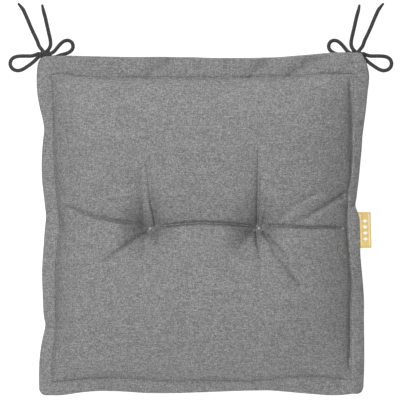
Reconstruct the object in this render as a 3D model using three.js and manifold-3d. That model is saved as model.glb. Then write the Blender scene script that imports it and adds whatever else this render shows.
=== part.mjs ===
// Square tufted chair seat pad with a flat stitched flange, bow ties at the two rear corners and a side
// label. The pad lies on its underside: Z is up, Y points to the rear edge, and the origin is the middle
// of the flat underside. All lengths are millimetres.
import * as THREE from "three";
import { mergeVertices } from "three/addons/utils/BufferGeometryUtils.js";
import Module from "manifold-3d";

const wasm = await Module();
wasm.setup();

// ---- driving dimensions -------------------------------------------------------------------------------
const CLOTH = 1.2; // thickness of one cover panel
const FIT = 0.3; // gap kept between touching pieces

// The padded area inside the topstitching. Its sides bow outwards from the middle to the corners.
const PAD_HALF_WIDTH = 196;
const PAD_HALF_DEPTH = 204;
const PAD_CENTRE_Y = -4.5;
const PAD_SIDE_BOW = 7;
const PAD_END_BOW = 3;

// The outer edge of the flange, bowed the same way.
const EDGE_HALF_WIDTH = 212;
const EDGE_HALF_DEPTH = 227;
const EDGE_CENTRE_Y = -0.5;
const EDGE_SIDE_BOW = 13;
const EDGE_END_BOW = 3;
const EDGE_CORNER_CUT = 2.5; // how far the rounding takes each corner in, along X and along Y

// Heights of the flange's middle plane, which droops from the topstitching to its edge and corners.
const SEAM_HEIGHT = 18;
const EDGE_DROOP = 3;
const CORNER_DROOP = 2;
const EDGE_GAP = 1.4; // room between the two panels at the edge, for the turned-in seam
const CROWN = 52; // rise of the upper panel above the seam
const BELLY = 30; // drop of the lower panel below the seam before the ground flattens it
const SHOULDER = 130; // distance over which a panel rises from the seam to its full height
const DOME_POWER = 2.4; // how quickly it rises at the seam

const TUFTS = { left: new THREE.Vector2(-71.5, -5), right: new THREE.Vector2(75.5, -5) };
const TUFT_DEPTH = 40;
const TUFT_REACH = 66;
const TUFT_UNDER_DEPTH = 9;
const TUFT_UNDER_REACH = 34;
const TUFT_THREAD_RADIUS = 0.9;

const SEAM_THREAD = 0.8; // width of the square section that stands for a sewing thread
const STITCH_OUTSET = 1.5; // the topstitching runs this far outside the foot of the padding
const EDGE_SEAM_INSET = 2.5;

const LABEL = { y: -7, length: 49, width: 15, layer: 0.4, fold: 1.1 };
const LABEL_CLEARANCE = 1.5; // from the flange's edge to the label's sewn end

const CORD_RADIUS = 2.5;
const CORD_SIDES = 8;
const CORD_STEP = 8; // length of one straight facet of a cord
const TIES = { left: new THREE.Vector3(-215.2, 232, 5.2), right: new THREE.Vector3(209.3, 232, 5.2) };
const KNOT_HALF = new THREE.Vector3(10.4, 5.9, 4.9);
const TACK_OFFSET = -13.5; // the tack lies this far in front of the knot
const TACK = { width: 12.4, depth: 6.2, height: 2.2, top: 11.5 };

// ---- the pad's shape ----------------------------------------------------------------------------------
const squared = (x) => x * x;

// Where the line of topstitching cuts the padding is s = +-1 or t = +-1, and the middle is (0, 0).
function padPoint(s, t) {
  const x = s * (PAD_HALF_WIDTH + PAD_SIDE_BOW * squared(t));
  const y = PAD_CENTRE_Y + t * (PAD_HALF_DEPTH + PAD_END_BOW * squared(s));
  return new THREE.Vector2(x, y);
}

const edgeX = (y) => EDGE_HALF_WIDTH + EDGE_SIDE_BOW * squared(y / EDGE_HALF_DEPTH);
const edgeY = (x) => EDGE_HALF_DEPTH + EDGE_END_BOW * squared(x / EDGE_HALF_WIDTH);

// Rise of a panel, from 0 at the seam to 1 over the middle of the pad.
function fullness(s, t) {
  const rise = (r) => 1 - Math.pow(1 - Math.min(r / SHOULDER, 1), DOME_POWER);
  return rise((1 - Math.abs(s)) * PAD_HALF_WIDTH) * rise((1 - Math.abs(t)) * PAD_HALF_DEPTH);
}

function tuftPull(point, reach) {
  const pulls = Object.values(TUFTS).map((tuft) => Math.max(0, 1 - point.distanceTo(tuft) / reach));
  return squared(Math.max(...pulls));
}

// Grid lines over the padding, close together at the seam and passing through the tufts.
const LINES_S = [
  -1, -0.95, -0.87, -0.76, -0.62, -0.49, TUFTS.left.x / PAD_HALF_WIDTH, -0.24, -0.1, 0.02,
  0.14, 0.26, TUFTS.right.x / PAD_HALF_WIDTH, 0.5, 0.62, 0.76, 0.87, 0.95, 1,
];
const LINES_T = [
  -1, -0.95, -0.87, -0.75, -0.58, -0.4, -0.25, -0.12, 0, 0.12, 0.25, 0.4, 0.58, 0.75, 0.87, 0.95, 1,
];

// One grid point of the pad: its place in plan, and how far it is from the seam (0) to the edge (1).
function latticePoint(column, row) {
  const s = LINES_S[THREE.MathUtils.clamp(column - 1, 0, LINES_S.length - 1)];
  const t = LINES_T[THREE.MathUtils.clamp(row - 1, 0, LINES_T.length - 1)];
  const plan = padPoint(s, t);
  const outX = column === 0 ? -1 : column === LINES_S.length + 1 ? 1 : 0;
  const outY = row === 0 ? -1 : row === LINES_T.length + 1 ? 1 : 0;
  const cut = outX && outY ? EDGE_CORNER_CUT : 0;
  if (outX) plan.x = outX * (edgeX(outY ? EDGE_HALF_DEPTH : plan.y) - cut);
  if (outY) plan.y = EDGE_CENTRE_Y + outY * (edgeY(outX ? EDGE_HALF_WIDTH : plan.x) - cut);
  const flange = Math.max(Math.abs(outX), Math.abs(outY));
  const corner = Math.abs(outX * outY);
  return { s, t, plan, flange, corner };
}

const flangeHeight = ({ flange, corner }) => SEAM_HEIGHT - EDGE_DROOP * flange - CORNER_DROOP * corner;
const halfGap = ({ flange }) => (FIT + (EDGE_GAP - FIT) * flange) / 2;

function upperInside(p) {
  const rise = CROWN * fullness(p.s, p.t) - TUFT_DEPTH * tuftPull(p.plan, TUFT_REACH);
  return flangeHeight(p) + halfGap(p) + (p.flange ? 0 : rise);
}

const upperOutside = (p) => upperInside(p) + CLOTH;

function lowerOutside(p) {
  const seam = flangeHeight(p) - halfGap(p) - CLOTH;
  if (p.flange) return seam;
  const dimple = TUFT_UNDER_DEPTH * tuftPull(p.plan, TUFT_UNDER_REACH);
  return Math.max(0, seam - BELLY * fullness(p.s, p.t)) + dimple;
}

const lowerInside = (p) => lowerOutside(p) + CLOTH;

// ---- solids -------------------------------------------------------------------------------------------
function toSolid(geometry) {
  const bare = geometry.clone();
  bare.deleteAttribute("normal");
  bare.deleteAttribute("uv");
  const merged = mergeVertices(bare, 1e-4);
  const vertProperties = new Float32Array(merged.attributes.position.array);
  const triVerts = new Uint32Array(merged.index.array);
  return new wasm.Manifold(new wasm.Mesh({ numProp: 3, vertProperties, triVerts }));
}

function toGeometry(solid) {
  const mesh = solid.getMesh();
  const geometry = new THREE.BufferGeometry();
  geometry.setAttribute("position", new THREE.BufferAttribute(new Float32Array(mesh.vertProperties), 3));
  geometry.setIndex(new THREE.BufferAttribute(new Uint32Array(mesh.triVerts), 1));
  geometry.computeVertexNormals();
  return geometry;
}

// A closed slab between two height functions, over the grid columns and rows from first to last.
function slab(low, high, [firstColumn, lastColumn], [firstRow, lastRow]) {
  const columns = lastColumn - firstColumn;
  const rows = lastRow - firstRow;
  const vertices = [];
  for (const height of [low, high]) {
    for (let row = firstRow; row <= lastRow; row++) {
      for (let column = firstColumn; column <= lastColumn; column++) {
        const p = latticePoint(column, row);
        vertices.push(p.plan.x, p.plan.y, height(p));
      }
    }
  }
  const sheet = (columns + 1) * (rows + 1);
  const at = (column, row, layer) => layer * sheet + row * (columns + 1) + column;
  const index = [];
  const quad = (a, b, c, d) => index.push(a, b, c, a, c, d);
  for (let row = 0; row < rows; row++) {
    for (let column = 0; column < columns; column++) {
      quad(at(column, row, 1), at(column + 1, row, 1), at(column + 1, row + 1, 1), at(column, row + 1, 1));
      quad(at(column, row, 0), at(column, row + 1, 0), at(column + 1, row + 1, 0), at(column + 1, row, 0));
    }
    quad(at(0, row, 0), at(0, row, 1), at(0, row + 1, 1), at(0, row + 1, 0));
    quad(at(columns, row, 0), at(columns, row + 1, 0), at(columns, row + 1, 1), at(columns, row, 1));
  }
  for (let column = 0; column < columns; column++) {
    quad(at(column, 0, 0), at(column + 1, 0, 0), at(column + 1, 0, 1), at(column, 0, 1));
    quad(at(column, rows, 0), at(column, rows, 1), at(column + 1, rows, 1), at(column + 1, rows, 0));
  }
  const geometry = new THREE.BufferGeometry();
  geometry.setAttribute("position", new THREE.Float32BufferAttribute(vertices, 3));
  geometry.setIndex(index);
  return geometry;
}

function tube(path, section, steps) {
  return new THREE.ExtrudeGeometry(section, { steps, bevelEnabled: false, extrudePath: path });
}

function squareSection(width) {
  const half = width / 2;
  const corners = [[-half, -half], [half, -half], [half, half], [-half, half]];
  return new THREE.Shape(corners.map(([x, y]) => new THREE.Vector2(x, y)));
}

function roundSection(radius) {
  const section = new THREE.Shape();
  for (let i = 0; i < CORD_SIDES; i++) {
    const angle = (i / CORD_SIDES) * 2 * Math.PI;
    const corner = [radius * Math.cos(angle), radius * Math.sin(angle)];
    if (i === 0) section.moveTo(...corner);
    else section.lineTo(...corner);
  }
  section.closePath();
  return section;
}

function upright(radius, low, high, plan) {
  const geometry = new THREE.CylinderGeometry(radius, radius, high - low, 12);
  geometry.rotateX(Math.PI / 2);
  geometry.translate(plan.x, plan.y, (low + high) / 2);
  return geometry;
}

// ---- materials ----------------------------------------------------------------------------------------
function cloth(color, roughness = 0.95) {
  return () => new THREE.MeshStandardMaterial({ color, roughness, metalness: 0 });
}

const greyMelange = cloth(0x878787);
const fillFibre = cloth(0xe9e7e2);
const greyThread = cloth(0x6c6c6c, 0.8);
const darkCord = cloth(0x3e3e3e, 0.85);
const goldLabel = cloth(0xd8ba5c, 0.55);

const seatPad = new THREE.Group();

function piece(name, geometry, material, parent = seatPad) {
  const mesh = new THREE.Mesh(geometry, material());
  mesh.name = name;
  parent.add(mesh);
  return mesh;
}

// ---- covers and filling -------------------------------------------------------------------------------
const ALL_COLUMNS = [0, LINES_S.length + 1];
const ALL_ROWS = [0, LINES_T.length + 1];
const tuftHeights = (tuft) => {
  const p = { s: tuft.x / PAD_HALF_WIDTH, t: 0, plan: tuft, flange: 0, corner: 0 };
  return { top: upperOutside(p), bottom: lowerOutside(p) };
};

const THREAD_HOLE = TUFT_THREAD_RADIUS + 0.5;
const HOLE_OVERRUN = 10; // each hole is cut this far past the pad, above and below

function pierced(geometry) {
  const top = SEAM_HEIGHT + CROWN + HOLE_OVERRUN;
  let solid = toSolid(geometry);
  for (const tuft of Object.values(TUFTS)) {
    solid = solid.subtract(toSolid(upright(THREAD_HOLE, -HOLE_OVERRUN, top, tuft)));
  }
  return toGeometry(solid);
}

piece("top_cover", pierced(slab(upperInside, upperOutside, ALL_COLUMNS, ALL_ROWS)), greyMelange);
piece("bottom_cover", pierced(slab(lowerOutside, lowerInside, ALL_COLUMNS, ALL_ROWS)), greyMelange);
const fill = slab(
  (p) => lowerInside(p) + FIT,
  (p) => upperInside(p) - FIT,
  [2, LINES_S.length - 1],
  [2, LINES_T.length - 1],
);
piece("fibre_fill", pierced(fill), fillFibre);

// ---- sewing threads -----------------------------------------------------------------------------------
const POINTS_PER_SIDE = 12;
const THREAD_TENSION = 0.3; // of the curve through the points; 0 would join them by straight lines

// Points along one side of the pad (front, right, rear or left in turn). reach is how far along they go,
// where 1 is the corner.
function sidePoints(side, reach, pointAt) {
  const points = [];
  for (let i = 0; i < POINTS_PER_SIDE; i++) {
    const along = reach * ((2 * i) / (POINTS_PER_SIDE - 1) - 1);
    const [s, t] = [[along, -1], [1, along], [-along, 1], [-1, -along]][side];
    points.push(pointAt(s, t));
  }
  return points;
}

// One round of thread. It stays open by one step where it starts and ends.
function roundOfThread(points, width) {
  const path = new THREE.CatmullRomCurve3(points.slice(1), false, "catmullrom", THREAD_TENSION);
  return tube(path, squareSection(width), 2 * points.length);
}

function stitchPoint(height) {
  return (s, t) => {
    const plan = padPoint(s, t).add(new THREE.Vector2(s * STITCH_OUTSET, t * STITCH_OUTSET));
    return new THREE.Vector3(plan.x, plan.y, height);
  };
}

const SEAM_REACH = 0.985; // a topstitched corner is rounded over the rest of the side
const stitchLift = CLOTH + FIT + FIT / 2 + SEAM_THREAD / 2;
for (const [name, height] of [
  ["topstitch_needle_thread", SEAM_HEIGHT + stitchLift],
  ["topstitch_bobbin_thread", SEAM_HEIGHT - stitchLift - SEAM_THREAD / 2],
]) {
  const points = [0, 1, 2, 3].flatMap((side) => sidePoints(side, SEAM_REACH, stitchPoint(height)));
  piece(name, roundOfThread(points, SEAM_THREAD), greyThread);
}

// The hidden seam that joins the panels runs between them just inside the flange's edge.
const EDGE_THREAD = 0.4;
const EDGE_SEAM_REACH = 0.99;
const EDGE_SEAM_HEIGHT = SEAM_HEIGHT - 0.88 * EDGE_DROOP;
const CORNER_SEAM_HEIGHT = EDGE_SEAM_HEIGHT - 0.75 * CORNER_DROOP;

function edgeSeamPoint(s, t) {
  const along = padPoint(s, t);
  if (Math.abs(s) === 1) along.x = s * (edgeX(along.y) - EDGE_SEAM_INSET);
  else along.y = EDGE_CENTRE_Y + t * (edgeY(along.x) - EDGE_SEAM_INSET);
  return new THREE.Vector3(along.x, along.y, EDGE_SEAM_HEIGHT);
}

function edgeCorner(side) {
  const [outX, outY] = [[1, -1], [1, 1], [-1, 1], [-1, -1]][side];
  const inset = EDGE_CORNER_CUT + EDGE_SEAM_INSET;
  const x = outX * (edgeX(EDGE_HALF_DEPTH) - inset);
  const y = EDGE_CENTRE_Y + outY * (edgeY(EDGE_HALF_WIDTH) - inset);
  return new THREE.Vector3(x, y, CORNER_SEAM_HEIGHT);
}

const edgePoints = [0, 1, 2, 3].flatMap((side) => [
  ...sidePoints(side, EDGE_SEAM_REACH, edgeSeamPoint),
  edgeCorner(side),
]);
piece("edge_seam_thread", roundOfThread(edgePoints, EDGE_THREAD), greyThread);

// The cloth falls away from a tuft's thread, so the surface stitch and the knot stand a little off its
// middle.
const TUFT_BAR = { length: 5, width: 1.8, height: 1.2, lift: 4.6 };
const TUFT_KNOT = { radius: 2.2, height: 1.6, drop: 1.3 };
for (const [side, tuft] of Object.entries(TUFTS)) {
  const { top, bottom } = tuftHeights(tuft);
  const knotTop = bottom - FIT - TUFT_KNOT.drop;
  const low = knotTop - TUFT_KNOT.height;
  const barMiddle = top + FIT + TUFT_BAR.lift + TUFT_BAR.height / 2;
  const high = barMiddle + TUFT_BAR.height / 2;
  const barBox = new THREE.BoxGeometry(TUFT_BAR.length, TUFT_BAR.width, TUFT_BAR.height);
  barBox.translate(tuft.x, tuft.y, barMiddle);
  const knot = upright(TUFT_KNOT.radius, low, knotTop, tuft);
  const strand = upright(TUFT_THREAD_RADIUS, low, high, tuft);
  const thread = toSolid(strand).add(toSolid(barBox)).add(toSolid(knot));
  piece("tuft_thread_" + side, toGeometry(thread), greyThread);
}

// ---- label: a strip folded in two, its ends at the flange's edge --------------------------------------
{
  const inner = edgeX(LABEL.y) + LABEL_CLEARANCE;
  const outer = inner + LABEL.width;
  const half = LABEL.fold / 2;
  const middle = SEAM_HEIGHT - EDGE_DROOP;
  const profile = new THREE.Shape();
  profile.moveTo(inner, -half);
  profile.lineTo(outer - half, -half);
  profile.absarc(outer - half, 0, half, -Math.PI / 2, Math.PI / 2, false);
  profile.lineTo(inner, half);
  profile.lineTo(inner, half - LABEL.layer);
  profile.lineTo(outer - half, half - LABEL.layer);
  profile.lineTo(outer - half, -half + LABEL.layer);
  profile.lineTo(inner, -half + LABEL.layer);
  profile.closePath();
  const settings = { depth: LABEL.length, bevelEnabled: false, curveSegments: 4 };
  const label = new THREE.ExtrudeGeometry(profile, settings);
  const mesh = piece("side_label", label, goldLabel);
  mesh.rotation.x = Math.PI / 2;
  mesh.position.set(0, LABEL.y + LABEL.length / 2, middle);
}

// ---- ties ---------------------------------------------------------------------------------------------
// Routes of the left tie's cords, measured from the middle of its knot in plan, with heights from the
// ground. The right tie is its mirror image. Each route starts inside the knot, and a loop ends in it too.
const ROUTES = {
  outer_tail: [
    [-1.2, 0, 5.5], [-5, 5.8, 5.6], [-7.4, 10.7, 4.3], [-10.2, 18.1, 3], [-14.5, 27.1, 2.7],
    [-19, 37, 2.7], [-22.8, 46.2, 2.7], [-26.5, 54.5, 2.7], [-29.4, 60.5, 2.7], [-33, 65.2, 2.7],
    [-36.3, 69.1, 2.7],
  ],
  inner_tail: [
    [1.2, 0, 5.7], [5.3, 5.8, 5.8], [7.8, 10.9, 4.5], [8.1, 15.8, 3.3], [7.3, 21.3, 2.7],
    [5.4, 29.5, 2.7], [3, 40, 2.7], [1, 49, 2.7], [-1.6, 58.5, 2.7], [-3.5, 67.5, 2.7],
  ],
  outer_loop: [
    [-2.4, 1.2, 5.7], [-7.2, 0.7, 5.7], [-12, -1.2, 4.3], [-17.8, -2.7, 3], [-24, -2.8, 2.7],
    [-32.4, -2.9, 2.7], [-39.5, -3.9, 2.7], [-44.6, -7, 2.7], [-46.8, -12.2, 2.7], [-45.6, -17.6, 2.7],
    [-41.5, -21.4, 2.7], [-35.4, -22.6, 2.7], [-29.4, -20.6, 2.7], [-22, -15.9, 2.7], [-16.6, -12, 3],
    [-12.5, -8.3, 3.9], [-8.2, -4.1, 4.2], [-2.9, -1.2, 4.3],
  ],
  inner_loop: [
    [3.6, 0, 5.7], [9.4, 1, 5.3], [13.8, 4.4, 3.9], [17.4, 8.9, 2.9], [22.2, 14.2, 2.7], [27, 17.6, 2.7],
    [32, 18.4, 2.7], [36.5, 16, 2.7], [38.6, 11.2, 2.7], [37.4, 6.2, 2.7], [33, 2.2, 2.7],
    [26.4, -0.2, 2.7], [20.3, -1.9, 2.9], [14, -4.4, 3.6], [7.7, -4.1, 4.1], [2.9, -1.4, 4.3],
  ],
  stem_outer: [
    [-2.9, -13.5, 10.8], [-2.9, -13.2, 9], [-2.9, -11.8, 6.9], [-2.8, -8.4, 5.8], [-2.7, -4.2, 5.3],
    [-2.4, 0, 5.2],
  ],
  stem_inner: [
    [2.9, -13.5, 10.8], [2.9, -13.2, 9], [2.9, -11.8, 6.9], [2.8, -8.4, 5.8], [2.7, -4.2, 5.3],
    [2.4, 0, 5.2],
  ],
};

function knotSolid(centre, grow) {
  const knot = new THREE.SphereGeometry(1, 16, 10);
  knot.rotateZ(Math.PI / 2);
  knot.scale(KNOT_HALF.x + grow, KNOT_HALF.y + grow, KNOT_HALF.z + grow);
  return knot.translate(centre.x, centre.y, centre.z);
}

function tackSolid(centre, grow) {
  const box = new THREE.BoxGeometry(TACK.width + 2 * grow, TACK.depth + 2 * grow, TACK.height + 2 * grow);
  return box.translate(centre.x, centre.y + TACK_OFFSET, TACK.top - TACK.height / 2);
}

function cordGeometry(route, centre, mirror) {
  const points = route.map(([x, y, z]) => new THREE.Vector3(centre.x + mirror * x, centre.y + y, z));
  const path = new THREE.CatmullRomCurve3(points, false, "centripetal");
  return tube(path, roundSection(CORD_RADIUS), Math.ceil(path.getLength() / CORD_STEP) + 2);
}

for (const [side, centre] of Object.entries(TIES)) {
  const mirror = side === "left" ? 1 : -1;
  const tie = new THREE.Group();
  seatPad.add(tie);
  const room = toSolid(knotSolid(centre, FIT)).add(toSolid(tackSolid(centre, FIT)));
  piece(`tie_${side}_tack`, tackSolid(centre, 0), greyThread, tie);
  piece(`tie_${side}_knot`, knotSolid(centre, 0), darkCord, tie);
  for (const [name, route] of Object.entries(ROUTES)) {
    const cord = toSolid(cordGeometry(route, centre, mirror)).subtract(room);
    const whole = cord.decompose().sort((a, b) => b.volume() - a.volume())[0];
    piece(`tie_${side}_${name}`, toGeometry(whole), darkCord, tie);
  }
}

export default seatPad;
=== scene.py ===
"""Square tufted chair seat pad with a stitched flange, corner ties in bows and a side label.

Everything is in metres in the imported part's own frame: +Z up, +Y to the rear edge with the ties.
"""
import math

import bpy
import numpy as np
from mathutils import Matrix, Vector


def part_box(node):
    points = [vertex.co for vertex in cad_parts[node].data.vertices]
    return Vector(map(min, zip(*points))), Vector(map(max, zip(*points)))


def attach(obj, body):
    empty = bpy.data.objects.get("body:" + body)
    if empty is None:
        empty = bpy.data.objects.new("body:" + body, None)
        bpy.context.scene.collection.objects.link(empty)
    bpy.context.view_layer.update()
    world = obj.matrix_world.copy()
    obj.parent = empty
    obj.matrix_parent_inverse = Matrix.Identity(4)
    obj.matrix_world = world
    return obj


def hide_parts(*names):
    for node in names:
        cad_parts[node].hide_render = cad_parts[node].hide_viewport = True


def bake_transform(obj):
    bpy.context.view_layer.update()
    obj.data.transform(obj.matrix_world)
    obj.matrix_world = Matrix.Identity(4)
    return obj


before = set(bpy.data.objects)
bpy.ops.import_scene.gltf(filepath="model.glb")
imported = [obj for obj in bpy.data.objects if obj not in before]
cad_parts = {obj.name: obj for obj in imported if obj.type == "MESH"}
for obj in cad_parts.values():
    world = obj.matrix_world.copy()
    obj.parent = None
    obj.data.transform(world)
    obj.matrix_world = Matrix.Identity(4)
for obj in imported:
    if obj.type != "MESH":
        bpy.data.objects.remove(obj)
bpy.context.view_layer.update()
MM = 0.001


# ---- camera, floor and light ----
VIEW_WIDTH = 0.5414  # width of the picture at the height of the flange
CAMERA_HEIGHT = 4.0
VIEW_CENTRE = (-0.0041, 0.0336)
FLANGE_HEIGHT = 0.018
SKY_STRENGTH = 0.02
FLOOR_HALF = 3.0
AREA_LIGHTS = {  # place, diameter in metres and power in watts
    "overhead_light": ((-0.65, 0.15, 3.1), 1.0, 87),
    "left_light": ((-2.3, 0, 1.9), 1.0, 3),
    "rear_light": ((0, 2.9, 1.0), 1.4, 42),
    "front_light": ((0, -2.9, 1.0), 1.4, 27),
}


def add_object(name, data):
    made = bpy.data.objects.new(name, data)
    bpy.context.scene.collection.objects.link(made)
    return made


def set_inputs(made, values):
    for key, value in values.items():
        made.inputs[key].default_value = value


def make_camera():
    camera = bpy.data.cameras.new("camera")
    camera.sensor_width = 36
    camera.lens = camera.sensor_width * (CAMERA_HEIGHT - FLANGE_HEIGHT) / VIEW_WIDTH
    camera.clip_end = 20
    body = add_object("camera", camera)
    body.location = (*VIEW_CENTRE, CAMERA_HEIGHT)
    bpy.context.scene.camera = body


def make_area_light(name, location, size, power):
    """A round light that shines at the middle of the pad."""
    light = bpy.data.lights.new(name, "AREA")
    light.shape = "DISK"
    light.size = size
    light.energy = power
    body = add_object(name, light)
    body.location = location
    body.rotation_euler = (Vector() - Vector(location)).to_track_quat("-Z", "Y").to_euler()


def make_studio():
    scene = bpy.context.scene
    scene.view_settings.view_transform = "Standard"
    scene.view_settings.look = "None"
    world = bpy.data.worlds.new("studio")
    world.use_nodes = True
    set_inputs(world.node_tree.nodes["Background"], {"Color": (1, 1, 1, 1), "Strength": SKY_STRENGTH})
    scene.world = world
    for name, light in AREA_LIGHTS.items():
        make_area_light(name, *light)


def make_floor():
    """White paper that glows a little, so that it stays white where the pad shades it."""
    paper = bpy.data.materials.new("white_paper")
    paper.use_nodes = True
    set_inputs(paper.node_tree.nodes["Principled BSDF"], {
        "Base Color": (0.12, 0.12, 0.12, 1), "Roughness": 0.9,
        "Emission Color": (1, 1, 1, 1), "Emission Strength": 1.0,
    })
    steps = (-FLOOR_HALF, 0.0, FLOOR_HALF)
    points = [(x, y, 0.0) for y in steps for x in steps]
    add_mesh("floor", points, grid_faces(3, 3), paper, smooth_shading=False)


# ---- small helpers ----
def smooth(knots, at):
    """A cubic curve through (position, value) knots, read at an array of positions."""
    x, y = np.array(knots, float).T
    slope = np.gradient(y, x)
    at = np.clip(at, x[0], x[-1])
    i = np.clip(np.searchsorted(x, at) - 1, 0, len(x) - 2)
    gap = x[i + 1] - x[i]
    u = (at - x[i]) / gap
    ends = (1 + 2 * u) * (1 - u) ** 2 * y[i] + u * u * (3 - 2 * u) * y[i + 1]
    return ends + gap * (u * (1 - u) ** 2 * slope[i] + u * u * (u - 1) * slope[i + 1])


def step(low, high, x):
    """Nought at low and one at high, with a soft start and end."""
    u = np.clip((x - low) / (high - low), 0, 1)
    return u * u * (3 - 2 * u)


def ripple(along, height, wavelengths, seed):
    """A wandering wave of about that height: a few sines of unlike lengths, each from its own phase."""
    phases = np.random.default_rng(seed).uniform(0, 2 * math.pi, len(wavelengths))
    total = sum(np.sin(2 * math.pi * along / length + phase) for length, phase in zip(wavelengths, phases))
    return height * total / math.sqrt(len(wavelengths))


def run_lengths(path):
    """How far along a line of points each of them is."""
    return np.concatenate([[0], np.cumsum(np.linalg.norm(np.diff(path, axis=0), axis=1))])


def points_at(places, travelled, path, **wrapping):
    """The points of a line at some distances along it."""
    return np.stack([np.interp(places, travelled, path[:, k], **wrapping) for k in range(3)], 1)


def add_mesh(name, points, faces, material, smooth_shading=True):
    mesh = bpy.data.meshes.new(name)
    mesh.from_pydata(np.asarray(points).tolist(), [], [list(f) for f in faces])
    mesh.update()
    if smooth_shading:
        mesh.polygons.foreach_set("use_smooth", [True] * len(mesh.polygons))
    mesh.materials.append(material)
    return add_object(name, mesh)


def mark(piece, name, values):
    """Stores a number at each point of a piece, for its material to read."""
    piece.data.attributes.new(name, "FLOAT", "POINT").data.foreach_set("value", values.ravel())


def assign(piece, body, slot, *cad_names):
    """Says which body a piece moves with and which CAD nodes it replaces. The slot argument is not used."""
    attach(piece, body)
    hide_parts(*cad_names)


def grid_faces(rows, columns, offset=0, flip=False):
    """Quads over a grid of rows by columns points, as an array of four indices each."""
    j, i = np.meshgrid(np.arange(rows - 1), np.arange(columns - 1), indexing="ij")
    a = (j * columns + i).ravel() + offset
    quads = np.stack([a, a + 1, a + columns + 1, a + columns], 1)
    return quads[:, ::-1] if flip else quads


def grid_normals(grid):
    """Unit normals of a grid of points, for rows along +Y and columns along +X."""
    along_rows = np.gradient(grid, axis=0)
    along_columns = np.gradient(grid, axis=1)
    normal = np.cross(along_columns, along_rows)
    return normal / np.maximum(np.linalg.norm(normal, axis=2, keepdims=True), 1e-12)


def rim(rows, columns):
    """Indices of the points round the edge of a grid, in order."""
    index = np.arange(rows * columns).reshape(rows, columns)
    return np.concatenate([index[0, :-1], index[:-1, -1], index[-1, :0:-1], index[:0:-1, 0]])


def shell_faces(rows, columns, outer_up):
    """Faces of two grids of the same size, the second inside the first, joined round their edges."""
    count = rows * columns
    edge = rim(rows, columns)
    following = np.roll(edge, -1)
    band = np.stack([edge, following, following + count, edge + count], 1)
    if outer_up:
        band = band[:, ::-1]
    outer = grid_faces(rows, columns, 0, flip=not outer_up)
    inner = grid_faces(rows, columns, count, flip=outer_up)
    return np.concatenate([outer, inner, band])


# ---- plan of the pad ----
# Edge and seam curves in millimetres: (place along the side, how far inside the CAD cover's outermost line).
LEFT_EDGE = [
    (-226, 1.4), (-205, 1.0), (-180, 2.1), (-160, 4.7), (-147, 7.5), (-136, 9.6), (-124, 7.7),
    (-100, 6.4), (-62, 5.3), (-30, 7.2), (-4, 9.2), (11, 10.6), (27, 9.0), (60, 5.4), (76, 4.7),
    (100, 5.4), (116, 6.7), (128, 8.0), (138, 7.1), (158, 2.3), (178, -1.2), (200, -2.1), (226, -0.2),
]
RIGHT_EDGE = [
    (-226, 6.1), (-200, 5.0), (-170, 4.7), (-130, 5.1), (-100, 5.2), (-81, 6.3), (-59, 8.4), (-38, 10.0),
    (-9, 10.9), (10, 12.1), (17, 13.8), (24, 16.3), (38, 15.0), (60, 12.3), (82, 10.2), (103, 8.2),
    (118, 7.3), (136, 5.1), (157, 2.3), (180, 0.1), (202, -1.9), (227, 3.3),
]
REAR_EDGE = [
    (-224, 2.8), (-204, 0.8), (-183, 0.2), (-150, 0.9), (-106, 1.8), (-40, 1.9), (-9, 2.4), (13, 3.1),
    (60, 3.2), (80, 2.8), (100, 1.9), (121, 0.6), (143, -1.2), (165, -3.4), (185, -4.3), (200, -4.2),
    (212, -3.1), (222, -0.8),
]
FRONT_EDGE = [
    (-220, 2.2), (-204, -0.8), (-193, -0.7), (-172, 2.2), (-150, 4.7), (-136, 5.1), (-117, 4.7),
    (-74, 2.3), (-46, 2.1), (-9, 3.1), (35, 4.7), (72, 5.8), (89, 5.9), (110, 4.3), (132, 2.3),
    (154, 0.6), (175, -0.7), (190, -0.2), (208, 2.2), (218, 3.2),
]
LEFT_SEAM = [
    (-212, 19.3), (-176, 20.7), (-151, 23.3), (-118, 24.2), (-86, 24.2), (-53, 24.8), (-25, 27.5),
    (-4, 30.0), (9, 30.0), (21, 27.9), (45, 25.9), (78, 23.0), (111, 21.0), (144, 21.4), (173, 20.7),
    (203, 19.3),
]
RIGHT_SEAM = [
    (-208, 23.0), (-150, 23.3), (-105, 23.3), (-78, 22.1), (-53, 24.0), (-12, 27.8), (12, 28.5),
    (25, 27.5), (45, 26.9), (62, 23.8), (80, 22.0), (125, 21.1), (165, 21.0), (204, 20.7),
]
REAR_SEAM = [
    (-204, 26.8), (-192, 25.8), (-183, 26.2), (-170, 28.1), (-154, 29.3), (-60, 30.1), (5, 30.3),
    (77, 29.6), (140, 26.8), (163, 25.2), (202.6, 25.8),
]
FRONT_SEAM = [
    (-204, 18.2), (-188, 20.3), (-173, 21.4), (-150, 23.3), (-120, 23.8), (-90, 22.2), (-67, 20.6),
    (-30, 19.9), (5, 20.3), (65, 19.7), (95, 21.8), (125, 24.8), (152, 26.8), (178, 24.1), (200.3, 22.1),
]
SEAM_CORNERS = {(-1, -1): (19.3, 18.2), (1, -1): (23.0, 22.1), (-1, 1): (19.3, 26.8), (1, 1): (20.7, 25.8)}

cover_low, cover_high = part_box("top_cover")
thread_low, thread_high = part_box("topstitch_needle_thread")
under_low, under_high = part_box("topstitch_bobbin_thread")
SEAM_Z = (thread_low.z + thread_high.z + under_low.z + under_high.z) / 4
CROWN = cover_high.z - SEAM_Z


def side_x(side, insets, y):
    """X of a curve down the left (-1) or right (1) side at each y."""
    start = cover_low.x if side < 0 else cover_high.x
    return start - side * smooth(insets, y / MM) * MM


def end_y(end, insets, x):
    """Y of a curve across the front (-1) or rear (1) at each x."""
    start = cover_low.y if end < 0 else cover_high.y
    return start - end * smooth(insets, x / MM) * MM


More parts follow.
